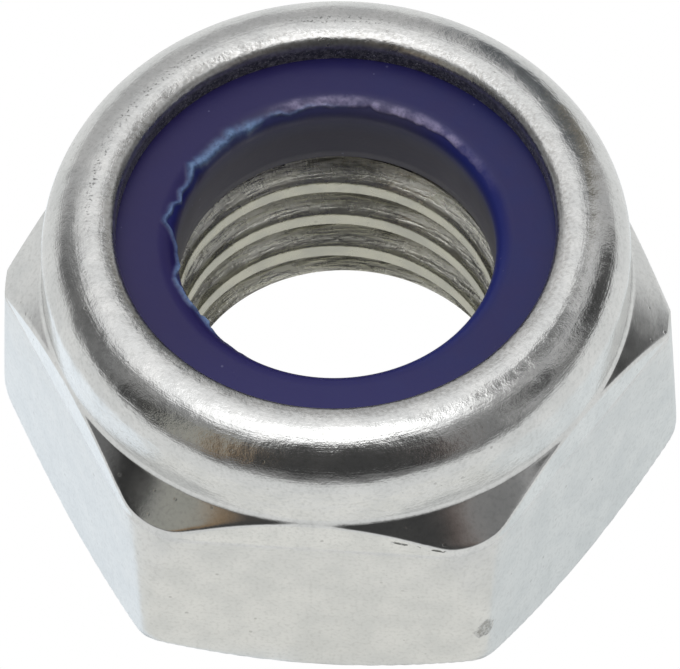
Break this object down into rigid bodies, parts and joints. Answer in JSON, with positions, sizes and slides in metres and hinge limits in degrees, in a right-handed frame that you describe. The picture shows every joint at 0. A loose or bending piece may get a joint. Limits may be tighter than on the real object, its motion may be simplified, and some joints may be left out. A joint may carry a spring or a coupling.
{
  "type": "nylon insert lock nut",
  "caption": "Hexagonal steel lock nut with a rolled collar that holds a blue nylon ring, which grips a bolt so the nut does not shake loose.",
  "frame": {"origin": "centre of the bearing face, on the thread's axis", "axes": "+Z along the thread's axis from the bearing face towards the collar, -Y and +Y through one pair of flats"},
  "size_m": [0.0184, 0.016, 0.0097],
  "materials": {
    "zinc_plated_steel": "bright zinc plate, turned and rolled, with fine pits and a little brown staining",
    "blue_nylon": "smooth moulded nylon, dark violet blue, with a ragged pale burr round the bore"
  },
  "bodies": {
    "root": {"nut_body": "zinc_plated_steel", "nylon_insert": "blue_nylon"}
  },
  "joints": []
}
